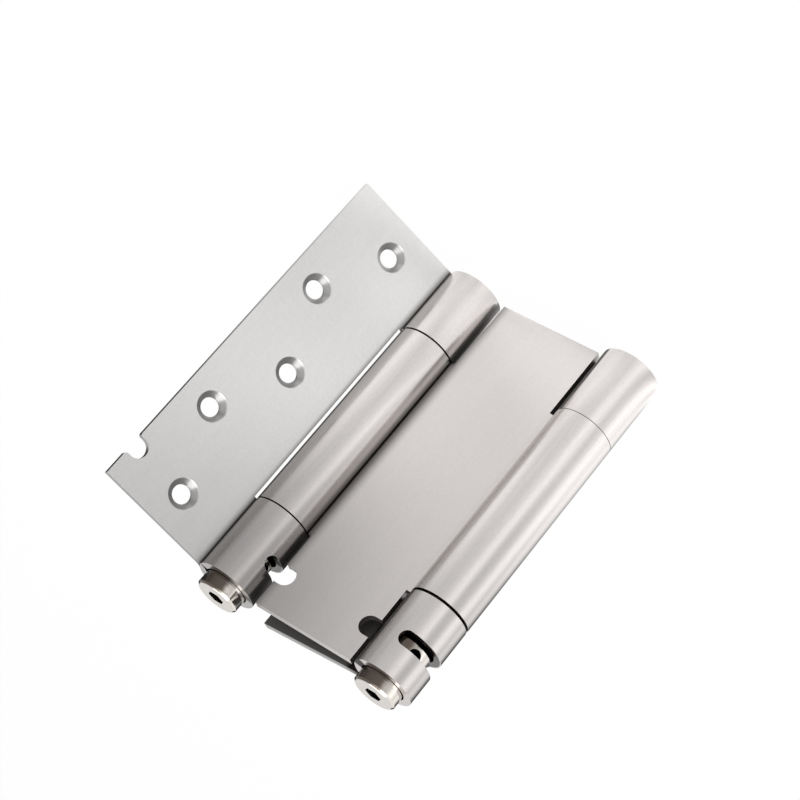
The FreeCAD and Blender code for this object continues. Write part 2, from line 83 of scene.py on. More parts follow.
def compass(angle):
    """The level direction at an angle from the part's +X, in degrees."""
    return (math.cos(math.radians(angle)), math.sin(math.radians(angle)), 0.0)


# Sizes read from the frame: each barrel's axis is its bush's middle, and the jamb leaf's
# low side is its barrel's skin.
BARREL_AXIS = {side: middle_of(side + "_adjuster_bush") for side in SIDES}
BARREL_RADIUS = BARREL_AXIS["jamb"].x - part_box("jamb_leaf")[0].x
BARREL_SPACING = (BARREL_AXIS["door"] - BARREL_AXIS["jamb"]).length
SHEET_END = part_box("jamb_leaf")[1].z
SPINDLE_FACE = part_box("jamb_adjusting_spindle")[1].z
SPINDLE_RADIUS = (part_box("jamb_adjusting_spindle")[1].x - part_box("jamb_adjusting_spindle")[0].x) / 2

# Through each leaf's thickness: the direction from its front face to its back one, and how
# far the front face is from the barrel's axis that way.
THROUGH = {"jamb": compass(90.0), "door": compass(146.0)}
FRONT_FACE = 2.0 * MM
SHEET = 2.5 * MM

# The sides of the barrels that face the web and that face a gap, where shade is painted, and the side of
# the spindles that has a painted dark brown reflection.
WEB_SIDE = 226.0
GAP_SIDE = 13.0
REFLECTION_SIDE = -15.0

# How far the painted shade reaches from the barrel over the plate, and how strong it is there,
# on the leaf's front face, on the knuckles where they face the web, on them where they face the
# web's gap, and on the web's knuckle beside the leaf's cut edge. The last is a painted shade
# that darkens the plate towards the adjusters, and the rolled barrel has more of it.
PaintedShade = namedtuple("PaintedShade", "reach corner front web_gap shut_gap leaf_gap film")
LEAF_SHADE = PaintedShade(2.6 * MM, 0.45, 0.0, 0.72, 0.0, 0.0, 0.12)
SHUT_SHADE = PaintedShade(7.0 * MM, 0.90, 0.70, 0.0, 0.95, 0.0, 0.0)
WEB_SHADE = PaintedShade(5.5 * MM, 0.7, 0.0, 0.0, 0.0, 0.8, 0.42)
BARREL_ADJUSTER_SHADE = 0.45
SHADE_LINE_STRENGTH = 0.5
# The colour of the painted shade in corners, along seams and in gaps.
SHADE_COLOUR = (0.028, 0.025, 0.022)
# The colour of the painted shade inside a barrel.
BORE_SHADE_COLOUR = (0.035, 0.032, 0.030)
# The colour of the painted shade in a spindle's neck and holes.
HOLE_SHADE_COLOUR = (0.05, 0.042, 0.036)

# From where to where a sheet's finish changes. By distance from the barrel's axis: off the
# barrel's skin, over the line of painted shade beside it, from where the painted shade in the
# corner starts, and into the barrel. By height: under the top face, and over the painted shade
# towards the adjusters. By distance from the door's axis: across that painted shade.
OFF_SKIN = (BARREL_RADIUS + 0.04 * MM, BARREL_RADIUS + 0.16 * MM)
SHADE_LINE_SPAN = (BARREL_RADIUS + 0.1 * MM, BARREL_RADIUS + 0.8 * MM)
CORNER_START = BARREL_RADIUS + 0.3 * MM
INTO_BARREL = (BARREL_RADIUS - 0.45 * MM, BARREL_RADIUS - 0.20 * MM)
SHEET_TOP = (SHEET_END - 0.4 * MM, SHEET_END - 0.1 * MM)
ADJUSTER_SHADE_HEIGHT = (-10 * MM, SHEET_END)
ADJUSTER_SHADE_REACH = (BARREL_RADIUS, BARREL_SPACING * 0.85)

# By depth behind a leaf's front face: through the front's painted shade, and where the faces cut
# through the leaf, which have painted shade, start and end. By how straight the skin faces it: each gap's
# painted shade.
FRONT_DEPTH = (0.2 * MM, 0.6 * MM)
CUT_START = (0.12 * MM, 0.35 * MM)
CUT_END = (SHEET - 0.15 * MM, SHEET - 0.05 * MM)
WEB_GAP_FACING = (0.962, 1.0)
SHUT_GAP_FACING = (0.94, 0.98)
LEAF_GAP_FACING = (0.945, 0.975)

# The sheet's unevenness: how much each kind is pressed along the barrels, so that it runs
# on in lines, its size and detail, and its share of the tone.
Uneven = namedtuple("Uneven", "along size detail share")
GRAIN = Uneven(0.04, 0.35 * MM, 4.0, 0.20)
SAND = Uneven(1.0, 0.7 * MM, 2.0, 0.45)
CLOUD = Uneven(0.45, 14 * MM, 3.0, 0.20)
STREAK = Uneven(0.03, 2.4 * MM, 2.0, 0.15)

# How bright the sheet's darkest tone, and the painted shade on its cut faces and towards the
# adjusters, are beside its full colour, how strong the painted shade on the cut faces and
# inside a barrel is, and how strong its streaks are.
LOW_TONE = 0.74
SHADE_TONE = 0.25
CUT_SHADE = 0.5
BORE_SHADE = 0.92
ROLLED_STREAK = 0.7

# What dulls the sheet, and its relief on a barrel and on a plate.
PLATE_DULL = 0.09
# Where shade is painted the sheet is also rougher.
PAINTED_SHADE_DULL = 0.35
PATCHY_DULL = 0.05
ROLLED_RELIEF = 0.22
PLATE_RELIEF = 0.78
SHEET_RELIEF_DEPTH = 0.006 * MM

# From where to where a spindle's finish changes, by distance from its axis and by height:
# into its neck and holes, which have painted shade, below its head, and on its face, a darker
# copy of its colour as painted shade. The side with a painted dark brown reflection is by how
# straight it faces it, and its edge wanders.
SPINDLE_DEEP = (SPINDLE_RADIUS - 0.9 * MM, SPINDLE_RADIUS - 0.4 * MM)
SPINDLE_BELOW = (SPINDLE_FACE - 1.0 * MM, SPINDLE_FACE - 0.8 * MM)
SPINDLE_TOP = (SPINDLE_FACE - 0.20 * MM, SPINDLE_FACE - 0.05 * MM)
REFLECTION_FACING = (0.22, 0.60)
REFLECTION_WANDER = 0.3
REFLECTION_SHARE = 0.96
HOLE_SHADE = 0.9
FACE_SHADE_LEVEL = 0.80


class Signal:
    """A number, colour or vector in a finish, so that shader maths reads as Python."""

    def __init__(self, finish, socket):
        self.finish = finish
        self.socket = socket

    def maths(self, operation, *values, **settings):
        """A maths node of any kind, with its settings."""
        return self.finish.add("ShaderNodeMath", {"operation": operation, **settings}, *values)

    def __add__(self, other):
        return self.maths("ADD", self, other)

    def __sub__(self, other):
        return self.maths("SUBTRACT", self, other)

    def __mul__(self, other):
        return self.maths("MULTIPLY", self, other)

    def __truediv__(self, other):
        return self.maths("DIVIDE", self, other)

    def __pow__(self, other):
        return self.maths("POWER", self, other)

    def __rtruediv__(self, other):
        return self.maths("DIVIDE", other, self)

    def __rsub__(self, other):
        return self.maths("SUBTRACT", other, self)

    __radd__ = __add__
    __rmul__ = __mul__

    def held(self):
        """The value kept between 0 and 1."""
        return self.maths("ADD", self, 0.0, use_clamp=True)


class Finish:
    """A material under construction, with one method that adds any node."""

    def __init__(self, name, tree=None):
        self.material = None
        if tree is None:
            self.material = bpy.data.materials.new(name)
            self.material.use_nodes = True
            tree = self.material.node_tree
        self.tree = tree
        self.tree.nodes.clear()

    def add(self, kind, settings=None, *values, out=0, **sockets):
        """Add a node. Settings go in first, then values or signals, by place or by name."""
        node = self.tree.nodes.new(kind)
        for name, setting in (settings or {}).items():
            setattr(node, name, setting)
        given = list(enumerate(values)) + [(name.replace("_", " "), v) for name, v in sockets.items()]
        for key, value in given:
            socket = node.inputs[key]
            if isinstance(value, Signal):
                self.tree.links.new(value.socket, socket)
            else:
                socket.default_value = value
        return Signal(self, node.outputs[out]) if node.outputs else node

    def maths_of(self, operation, *values):
        """A maths node whose operation has no sign of its own."""
        return self.add("ShaderNodeMath", {"operation": operation}, *values)

    def facing(self, where, axis, aim):
        """How far the place's side of an upright axis faces an aim, from -1 to 1."""
        level = self.add("ShaderNodeVectorMath", {"operation": "SUBTRACT"}, where, (axis.x, axis.y, 0.0))
        level = self.add("ShaderNodeVectorMath", {"operation": "MULTIPLY"}, level, (1.0, 1.0, 0.0))
        level = self.add("ShaderNodeVectorMath", {"operation": "NORMALIZE"}, level)
        return self.add("ShaderNodeVectorMath", {"operation": "DOT_PRODUCT"}, level, tuple(aim), out=1)

    def place(self, scale=(1.0, 1.0, 1.0), turn=(0.0, 0.0, 0.0)):
        """Object coordinates, in metres, scaled and turned."""
        here = self.add("ShaderNodeTexCoord", out=3)
        return self.add("ShaderNodeMapping", {"vector_type": "POINT"}, here, (0.0, 0.0, 0.0), turn, scale)

    def noise(self, where, size, detail=3.0, roughness=0.55):
        """Noise from 0 to 1 whose clumps are about one size, in metres."""
        return self.add("ShaderNodeTexNoise", {"noise_dimensions": "3D"}, where,
                        Scale=1.0 / size, Detail=detail, Roughness=roughness)

    def uneven(self, kind):
        """Noise drawn out along the barrels, of one of the sheet's kinds."""
        return self.noise(self.place(scale=(1.0, 1.0, kind.along)), kind.size, detail=kind.detail)

    def rings(self, size, squash=0.05):
        """Turning marks round the upright."""
        return self.noise(self.place(scale=(squash, squash, 1.0)), size, detail=2.0)

    def mix_colour(self, amount, low, high):
        """A colour between two, by an amount from 0 to 1."""
        node = self.tree.nodes.new("ShaderNodeMix")
        node.data_type = "RGBA"
        for index, value in ((0, amount), (6, low), (7, high)):
            if isinstance(value, Signal):
                self.tree.links.new(value.socket, node.inputs[index])
            else:
                node.inputs[index].default_value = value
        return Signal(self, node.outputs[2])

    def grey(self, level):
        """A neutral colour of one brightness."""
        return self.add("ShaderNodeCombineColor", {"mode": "RGB"}, level, level, level)

    def bump(self, height, depth):
        """Relief of a height from 0 to 1 over a depth, in metres."""
        return self.add("ShaderNodeBump", None, Strength=1.0, Distance=depth, Height=height)

    def metal(self, base, roughness, **sockets):
        """The finish's shader, a bare metal whose sockets take values or signals."""
        surface = self.add("ShaderNodeBsdfPrincipled", None, Base_Color=base, Metallic=1.0,
                           Roughness=roughness.held(), **sockets)
        self.add("ShaderNodeOutputMaterial", None, surface)
        return self.material


def colour(rgb, level=1.0):
    """A colour for a socket, made brighter or darker by a level."""
    return (rgb[0] * level, rgb[1] * level, rgb[2] * level, 1.0)


def from_axis(finish, where, axis):
    """Distance from a barrel's axis, in metres."""
    flat = finish.add("ShaderNodeVectorMath", {"operation": "MULTIPLY"}, where, (1.0, 1.0, 0.0))
    return finish.add("ShaderNodeVectorMath", {"operation": "DISTANCE"}, flat, (axis.x, axis.y, 0.0), out=1)


def smooth_step(finish, value, start, end):
    """0 at the start and before it, 1 at the end and after it."""
    return finish.add("ShaderNodeMapRange", {"interpolation_type": "SMOOTHSTEP", "clamp": True},
                      value, start, end, 0.0, 1.0)


def faces(finish, here, side, angle, start, full):
    """1 where a barrel's skin faces a compass angle, and 0 well away from it."""
    return smooth_step(finish, finish.facing(here, BARREL_AXIS[side], compass(angle)), start, full)


def depth_in_leaf(finish, here, side):
    """Depth of a place behind the front face of a leaf's plate, in metres."""
    through = Vector(THROUGH[side])
    depth = finish.add("ShaderNodeVectorMath", {"operation": "DOT_PRODUCT"}, here, tuple(through), out=1)
    return depth - (BARREL_AXIS[side].dot(through) + FRONT_FACE)


def sheet_finish(settings, name, side, shading, leaf=True):
    """Satin steel sheet: a fine grain along the barrels over a faint cloudiness. It is
    smoother where it is rolled, with painted shade in corners and gaps, where it is also
    rougher, painted shade darkening it towards the adjusters, painted shade on the faces cut
    through a leaf, and painted shade inside a barrel."""
    finish = Finish(name)
    here = finish.place()
    height = finish.add("ShaderNodeSeparateXYZ", None, here, out=2)
    around = {which: from_axis(finish, here, BARREL_AXIS[which]) for which in SIDES}
    reach = finish.maths_of("MINIMUM", around["jamb"], around["door"])
    plate = smooth_step(finish, reach, *OFF_SKIN)
    rolled = 1.0 - plate

    # Painted shade: in the corner beside the barrel, along the line where plate meets barrel, on the leaf's
    # front face, and on the knuckles where they face the web and the gaps.
    corner = 1.0 - smooth_step(finish, around[side], CORNER_START, BARREL_RADIUS + shading.reach)
    line = 1.0 - smooth_step(finish, reach, *SHADE_LINE_SPAN)
    depth = depth_in_leaf(finish, here, side)
    front = 1.0 - smooth_step(finish, depth, *FRONT_DEPTH)
    painted_shade = (corner * shading.corner + line * SHADE_LINE_STRENGTH + front * shading.front) * plate
    web_gap = faces(finish, here, "jamb", WEB_SIDE, *WEB_GAP_FACING) * shading.web_gap
    shut_gap = faces(finish, here, "door", GAP_SIDE, *SHUT_GAP_FACING) * shading.shut_gap
    leaf_gap = faces(finish, here, "jamb", GAP_SIDE, *LEAF_GAP_FACING) * shading.leaf_gap
    painted_shade = (painted_shade + (web_gap + shut_gap + leaf_gap) * rolled).held()

    grain, sand = finish.uneven(GRAIN), finish.uneven(SAND)
    cloud, streak = finish.uneven(CLOUD), finish.uneven(STREAK)
    tone = grain * GRAIN.share + sand * SAND.share + cloud * CLOUD.share + streak * STREAK.share
    tone = (tone - 0.5) * settings.grain + 0.5
    tone = (tone + (streak - 0.5) * rolled * ROLLED_STREAK).held()
    flat_colour = settings.sheet_colour if leaf else settings.rolled_colour
    low = finish.mix_colour(plate, colour(settings.rolled_colour, LOW_TONE), colour(flat_colour, LOW_TONE))
    high = finish.mix_colour(plate, colour(settings.rolled_colour), colour(flat_colour))
    base = finish.mix_colour(tone, low, high)
    if leaf:
        # Painted shade on the faces inside the leaf's thickness, such as the walls of its holes,
        # countersinks and slots.
        cut = smooth_step(finish, depth, *CUT_START) * plate
        cut = cut * (1.0 - smooth_step(finish, depth, *CUT_END))
        base = finish.mix_colour(cut * CUT_SHADE, base, colour(settings.sheet_colour, SHADE_TONE))
    # Painted shade: darker towards the adjusters and away from the door's axis.
    film = (rolled * BARREL_ADJUSTER_SHADE + plate * shading.film) * smooth_step(finish, height, *ADJUSTER_SHADE_HEIGHT)
    film = film * smooth_step(finish, around["door"], *ADJUSTER_SHADE_REACH)
    base = finish.mix_colour(film, base, colour(settings.rolled_colour, SHADE_TONE))
    base = finish.mix_colour(painted_shade, base, colour(SHADE_COLOUR))
    # Painted shade inside the barrel.
    inside = 1.0 - smooth_step(finish, reach, *INTO_BARREL)
    shut_in = inside * (1.0 - smooth_step(finish, height, *SHEET_TOP))
    patches = (streak - 0.5) * PATCHY_DULL + (cloud - 0.5) * PATCHY_DULL
    relief = (grain * 0.5 + sand * 0.5) * (ROLLED_RELIEF + plate * PLATE_RELIEF)
    return finish.metal(
        finish.mix_colour(shut_in * BORE_SHADE, base, colour(BORE_SHADE_COLOUR)),
        settings.sheet_roughness + plate * PLATE_DULL + painted_shade * PAINTED_SHADE_DULL + patches,
        Normal=finish.bump(relief, SHEET_RELIEF_DEPTH))


def spindle_finish(settings, side):
    """Polished turned steel with faint rings round the axis, with painted shade in its neck and
    holes and on its end face, and a painted dark brown reflection down one side."""
    finish = Finish(side + "_polished_spindle")
    here = finish.place()
    reach = from_axis(finish, here, BARREL_AXIS[side])
    height = finish.add("ShaderNodeSeparateXYZ", None, here, out=2)
    # Painted shade in the neck and holes.
    deep = 1.0 - smooth_step(finish, reach, *SPINDLE_DEEP)
    hidden = deep * (1.0 - smooth_step(finish, height, *SPINDLE_BELOW))
    smear = finish.noise(here, 3 * MM)
    face = smooth_step(finish, height, *SPINDLE_TOP)
    # A painted dark brown reflection down one side.
    turn = finish.facing(here, BARREL_AXIS[side], compass(REFLECTION_SIDE)) + (smear - 0.5) * REFLECTION_WANDER
    reflection = smooth_step(finish, turn, *REFLECTION_FACING) * REFLECTION_SHARE
    turned = finish.mix_colour(reflection, colour(settings.spindle_colour), colour(settings.brown_colour))
    # The end face is a darker copy of the spindle's colour: painted shade.
    bright = finish.mix_colour(face, turned, colour(settings.spindle_colour, FACE_SHADE_LEVEL))
    return finish.metal(finish.mix_colour(hidden * HOLE_SHADE, bright, colour(HOLE_SHADE_COLOUR)),
                        0.08 + smear * 0.10, Normal=finish.bump(finish.rings(0.3 * MM), 0.003 * MM))


def turned_finish():
    """Plain turned steel of the plugs and pins."""
    finish = Finish("turned_steel")
    smear = finish.noise(finish.place(), 2 * MM)
    base = finish.mix_colour(smear, colour((0.42, 0.41, 0.40)), colour((0.58, 0.57, 0.55)))
    return finish.metal(base, 0.28 + smear * 0.15, Normal=finish.bump(finish.rings(0.25 * MM), 0.006 * MM))


def wire_finish():
    """Oiled spring wire with drawing marks."""
    finish = Finish("oiled_wire")
    marks = finish.noise(finish.place(scale=(1.0, 1.0, 3.0)), 0.6 * MM, detail=4.0)
    base = finish.mix_colour(marks, colour((0.16, 0.155, 0.15)), colour((0.34, 0.33, 0.32)))
    return finish.metal(base, 0.26 + marks * 0.2, Normal=finish.bump(marks, 0.01 * MM))


def brass_finish():
    """Bearing brass, slightly dulled."""
    finish = Finish("bearing_brass")
    dull = finish.noise(finish.place(), 2.5 * MM)
    base = finish.mix_colour(dull, colour((0.50, 0.34, 0.14)), colour((0.72, 0.53, 0.25)))
    rings = finish.rings(0.3 * MM, squash=0.06)
    return finish.metal(base, 0.26 + dull * 0.18, Normal=finish.bump(rings, 0.006 * MM))


def washer_finish():
    """Bronze washer, black with oily patches."""
    finish = Finish("oiled_washer")
    film = finish.noise(finish.place(), 1.5 * MM)
    base = finish.mix_colour(film, colour((0.035, 0.028, 0.020)), colour((0.10, 0.075, 0.045)))
    return finish.metal(base, 0.30 + film * 0.2)


# Angles of a surface, in degrees: facets flatter than this are joined, edges sharper than
# this are rounded, and edges sharper than this stay crisp in the shading. Then how close
# points are merged, the strips of a rounded edge and how much a flat face weighs.
FLAT_ANGLE = 0.6
EDGE_ANGLE = 32.0
CRISP_ANGLE = 40.0
MERGE = 0.0005 * MM
EDGE_STRIPS = 3
FLAT_WEIGHT = 100


def rounded(node, edge):
    """A copy of a node's surface, merged, with every sharp edge rounded, as stamping
    and tumbling leave it."""
    source = frame["nodes"][node]
    form = bmesh.new()
    form.from_mesh(source.data)
    bmesh.ops.remove_doubles(form, verts=form.verts[:], dist=MERGE)
    bmesh.ops.dissolve_limit(form, angle_limit=math.radians(FLAT_ANGLE),
                            verts=form.verts[:], edges=form.edges[:])
    sharp = [e for e in form.edges if len(e.link_faces) == 2
             and e.calc_face_angle() > math.radians(EDGE_ANGLE)]
    bmesh.ops.bevel(form, geom=sharp, offset=edge, offset_type="OFFSET", segments=EDGE_STRIPS,
                    profile=0.5, affect="EDGES", clamp_overlap=True, material=-1)
    bmesh.ops.remove_doubles(form, verts=form.verts[:], dist=MERGE)
    for face in form.faces:
        face.smooth = True
    for e in form.edges:
        e.smooth = len(e.link_faces) != 2 or e.calc_face_angle() < math.radians(CRISP_ANGLE)
    mesh = bpy.data.meshes.new(node + "_dressed")
    form.to_mesh(mesh)
    form.free()
    piece = bpy.data.objects.new(node + "_dressed", mesh)
    bpy.context.scene.collection.objects.link(piece)
    weigh = piece.modifiers.new("flat faces stay flat", "WEIGHTED_NORMAL")
    weigh.keep_sharp = True
    weigh.weight = FLAT_WEIGHT
    return piece


def body_of_node(node):
    """The body that a node belongs to."""
    bodies = frame["record"]["behaviour"]["bodies"]
    return next(body for body, nodes in bodies.items() if node in nodes)


def dress(node, edge, material):
    """Put a rounded copy in a node's place, on the node's body."""
    piece = rounded(node, edge)
    piece.data.materials.append(material)
    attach(piece, body_of_node(node))
    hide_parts(node)
    return piece


def paint(node, material):
    """Give a CAD node that is carried over its material."""
    for slot in frame["nodes"][node].material_slots:
        slot.material = material


class HingeSettings(bpy.types.PropertyGroup):
    """Sizes and colours of the hinge's finish."""
    sheet_edge: FloatProperty(name="Sheet edge", description="Rounding of the stamped sheet's edges",
                              default=0.22 * MM, min=0.0, unit="LENGTH")
    spindle_edge: FloatProperty(name="Spindle edge", description="Rounding of the spindles' edges",
                                default=0.12 * MM, min=0.0, unit="LENGTH")
    grain: FloatProperty(name="Grain", description="Strength of the sheet's grain", default=1.05, min=0.0)
    sheet_roughness: FloatProperty(name="Sheet roughness", description="Dullness of the satin sheet",
                                   default=0.23, min=0.0, max=1.0)
    sheet_colour: FloatVectorProperty(name="Sheet colour", description="Satin steel sheet", subtype="COLOR",
                                      default=(0.66, 0.653, 0.643))
    rolled_colour: FloatVectorProperty(name="Rolled colour", description="Steel of the web and the barrels",
                                       subtype="COLOR", default=(0.665, 0.632, 0.618))
    spindle_colour: FloatVectorProperty(name="Spindle colour", description="Polished spindles",
                                        subtype="COLOR", default=(0.74, 0.70, 0.65))
    # The colour of the painted dark brown reflection down one side of the spindles.
    brown_colour: FloatVectorProperty(name="Brown colour", description="Oil browned on the spindles",
                                      subtype="COLOR", default=(0.085, 0.066, 0.053))


class StageSettings(bpy.types.PropertyGroup):
    """Floor and lamps."""
    floor_radius: FloatProperty(name="Floor radius", description="Radius of the pale floor", default=4.0,
                                unit="LENGTH")
    key_power: FloatProperty(name="Key lamp", description="Power of the large lamp overhead", default=6.0,
                             subtype="POWER")
    side_power: FloatProperty(name="Side lamp", description="Power of the soft lamp at the side",
                              default=1.2, subtype="POWER")


class HINGE_OT_leaves(bpy.types.Operator):
    """Finish both rolled leaves"""
    bl_idname = "hinge.leaves"
    bl_label = "Leaves"

    def execute(self, context):
        settings = context.scene.hinge_finish
        open_leaf = sheet_finish(settings, "satin_leaf", "jamb", LEAF_SHADE)
        shut_leaf = sheet_finish(settings, "painted_shade_sheet", "door", SHUT_SHADE)
        dress("jamb_leaf", settings.sheet_edge, open_leaf)
        dress("door_leaf", settings.sheet_edge, shut_leaf)
        return {"FINISHED"}


class HINGE_OT_web(bpy.types.Operator):
    """Finish the centre web and its middle knuckles"""
    bl_idname = "hinge.web"
    bl_label = "Centre web"

    def execute(self, context):
        settings = context.scene.hinge_finish
        material = sheet_finish(settings, "satin_web", "jamb", WEB_SHADE, leaf=False)
        dress("centre_web", settings.sheet_edge, material)
        return {"FINISHED"}


class HINGE_OT_spindles(bpy.types.Operator):
    """Finish the adjusting spindles"""
    bl_idname = "hinge.spindles"
    bl_label = "Adjusting spindles"

    def execute(self, context):
        settings = context.scene.hinge_finish
        for side in SIDES:
            material = spindle_finish(settings, side)
            dress(side + "_adjusting_spindle", settings.spindle_edge, material)
        return {"FINISHED"}


class HINGE_OT_works(bpy.types.Operator):
    """Finish the springs, plugs, pins, bushes and washers inside the barrels"""
    bl_idname = "hinge.works"
    bl_label = "Inside the barrels"

    def execute(self, context):
        turned, wire, brass, washer = turned_finish(), wire_finish(), brass_finish(), washer_finish()
        for side in SIDES:
            paint(side + "_pivot_plug", turned)
            paint(side + "_plug_pin", turned)
            paint(side + "_torsion_spring", wire)
            for end in ("_plain", "_adjuster"):
                paint(side + end + "_bush", brass)
                paint(side + end + "_thrust_washer", washer)
        return {"FINISHED"}


# The view that the hinge is shown from: place and sensor in millimetres, roll in degrees,
# focal length in pixels, and the nearest and farthest it sees in metres.
CAMERA_PLACE = (136.7, -615.1, 233.9)
CAMERA_AHEAD = (-0.24656, 0.89544, -0.37068)
CAMERA_ROLL = -139.70
FOCAL_PIXELS = 2199.3
IMAGE_PIXELS = 800
SENSOR = 36.0
CAMERA_REACH = (0.01, 50.0)

# The soft lamps, in metres.
LAMP_AIM = Vector((-0.05, -0.02, 0.0))
KEY_PLACE = (-0.10, -0.15, 1.1)
KEY_SIZE = 0.9
SIDE_PLACE = (-0.75, -0.75, 0.35)
SIDE_SIZE = 0.5

# The studio round the hinge, by compass angle: four soft boxes, which light the steel from the
# world far off and are painted reflections in the floor's glow. Each shows as a streak along the
# barrels, with how narrow it is and how bright it is close by and far off.
Box = namedtuple("Box", "side narrow near far")
SOFT_BOXES = (Box(-141.0, 16.0, 0.95, 1.1), Box(-182.0, 14.0, 0.95, 1.1),
              Box(-82.0, 36.0, 0.50, 0.50), Box(8.0, 7.0, 0.50, 0.18))

# The side that is bright. Behind the hinge it is dark, and brighter round by a power.
BRIGHT_SIDE = -60.0
Round = namedtuple("Round", "dark rise power")
NEAR_ROUND = Round(0.28, 0.78, 0.6)
FAR_ROUND = Round(0.03, 0.90, 2.0)

# The floor in the metal glows with painted light that only reflections see: a place at the
# web's foot, how far round it the floor is plain, its painted brightness there and near the
# hinge, and from where to where it goes dimmer. Then its own colour, its glow to the eye, and
# the shares of glow to the eye and in the metal. The nearest barrel pulls the painted streaks by
# a power of how near it is, up to a limit.
PLATE_FOOT = (-0.030, -0.043)
FOOT_REACH = (0.01, 0.05)
FOOT_LEVEL = 1.50
NEAR_LEVEL = 1.06
FAR_REACH = (0.12, 0.36)
FLOOR_COLOUR = (0.94, 0.935, 0.93)
SEEN_GLOW = 1.01
SEEN_SHARE = 0.95
MIRRORED_SHARE = 0.65
PULL_POWER = 4.0
PULL_LIMIT = 0.1
FLOOR_SIDES = 96
WHITE = (1.0, 1.0, 1.0, 1.0)

# The sky's brightness in the metal and for soft light, and how high it starts.
SKY_LEVEL = 1.05
SOFT_LEVEL = 0.55
SKY_RISE = (0.06, 0.26)


def towards(finish, ahead, angle):
    """How far a level direction faces a compass angle, from -1 to 1."""
    return finish.add("ShaderNodeVectorMath", {"operation": "DOT_PRODUCT"}, ahead, compass(angle), out=1)


def level_direction(finish, where):
    """A direction laid level and made one long."""
    flat = finish.add("ShaderNodeVectorMath", {"operation": "MULTIPLY"}, where, (1.0, 1.0, 0.0))
    return finish.add("ShaderNodeVectorMath", {"operation": "NORMALIZE"}, flat)


def studio_round(finish, where):
    """Brightness that polished steel sees round the hinge, close by and far off: painted into the floor's
    glow, and far off also the world's light.
    """
    ahead = level_direction(finish, where)
    bright = 0.5 + towards(finish, ahead, BRIGHT_SIDE) * 0.5
    near, far = (kind.dark + bright ** kind.power * kind.rise for kind in (NEAR_ROUND, FAR_ROUND))
    for box in SOFT_BOXES:
        shine = towards(finish, ahead, box.side).held() ** box.narrow
        near = near + shine * box.near
        far = far + shine * box.far
    return near, far


def from_nearest_barrel(finish, here, middle):
    """The level direction to a place on the floor from the barrel nearest to it, so that
    the painted streaks run on to the barrels' feet."""
    pulls = []
    for axis in BARREL_AXIS.values():
        foot = (axis.x - middle.x, axis.y - middle.y, 0.0)
        ahead = finish.add("ShaderNodeVectorMath", {"operation": "SUBTRACT"}, here, foot)
        length = finish.add("ShaderNodeVectorMath", {"operation": "DISTANCE"}, here, foot, out=1)
        weight = 1.0 / ((length / BARREL_RADIUS) ** PULL_POWER + PULL_LIMIT)
        pulls.append(finish.add("ShaderNodeVectorMath", {"operation": "SCALE"}, ahead, Scale=weight))
    return finish.add("ShaderNodeVectorMath", {"operation": "ADD"}, *pulls)


def floor_finish(middle):
    """Pale floor, white to the eye. In the metal it glows with painted light: a painted bright pool at the
    web's foot, painted reflections of the soft boxes, bright close by and dimmer far away.
    """
    finish = Finish("pale_floor")
    seen = finish.add("ShaderNodeLightPath", out=0)
    mirrored = finish.add("ShaderNodeLightPath", out=3)
    here = finish.add("ShaderNodeTexCoord", out=3)
    near, far = studio_round(finish, from_nearest_barrel(finish, here, middle))
    reach = finish.add("ShaderNodeVectorMath", {"operation": "LENGTH"}, here, out=1)
    away = smooth_step(finish, reach, *FAR_REACH)
    plate_foot = (PLATE_FOOT[0] - middle.x, PLATE_FOOT[1] - middle.y, 0.0)
    off_foot = finish.add("ShaderNodeVectorMath", {"operation": "DISTANCE"}, here, plate_foot, out=1)
    off_foot = smooth_step(finish, off_foot, *FOOT_REACH)
    # Painted light: a bright pool at the web's foot, painted streaks near the hinge, dimmer far away.
    level = FOOT_LEVEL + (near * NEAR_LEVEL - FOOT_LEVEL) * off_foot
    level = level + (far - level) * away
    paper = finish.add("ShaderNodeBsdfDiffuse", None,
                       Color=finish.mix_colour(mirrored, colour(FLOOR_COLOUR), finish.grey(level)))
    glow = seen * SEEN_GLOW + mirrored * level * (1.0 - seen)
    shine = finish.add("ShaderNodeEmission", None, Color=WHITE, Strength=glow)
    share = seen * SEEN_SHARE + mirrored * MIRRORED_SHARE
    surface = finish.add("ShaderNodeMixShader", None, share, paper, shine)
    finish.add("ShaderNodeOutputMaterial", None, surface)
    return finish.material


def add_floor(radius):
    """A round floor under the hinge."""
    middle = (CAD_BOX[0] + CAD_BOX[1]) / 2
    form = bmesh.new()
    bmesh.ops.create_circle(form, cap_ends=True, segments=FLOOR_SIDES, radius=radius)
    mesh = bpy.data.meshes.new("floor")
    form.to_mesh(mesh)
    form.free()
    floor = bpy.data.objects.new("floor", mesh)
    bpy.context.scene.collection.objects.link(floor)
    floor.location = (middle.x, middle.y, CAD_BOX[0].z)
    mesh.materials.append(floor_finish(middle))


def add_lamp(name, place, size, power):
    """A square soft lamp that faces the hinge."""
    data = bpy.data.lights.new(name, "AREA")
    data.shape = "SQUARE"
    data.size = size
    data.energy = power
    lamp = bpy.data.objects.new(name, data)
    lamp.location = place
    lamp.rotation_euler = (LAMP_AIM - Vector(place)).to_track_quat("-Z", "Y").to_euler()
    bpy.context.scene.collection.objects.link(lamp)
    return lamp


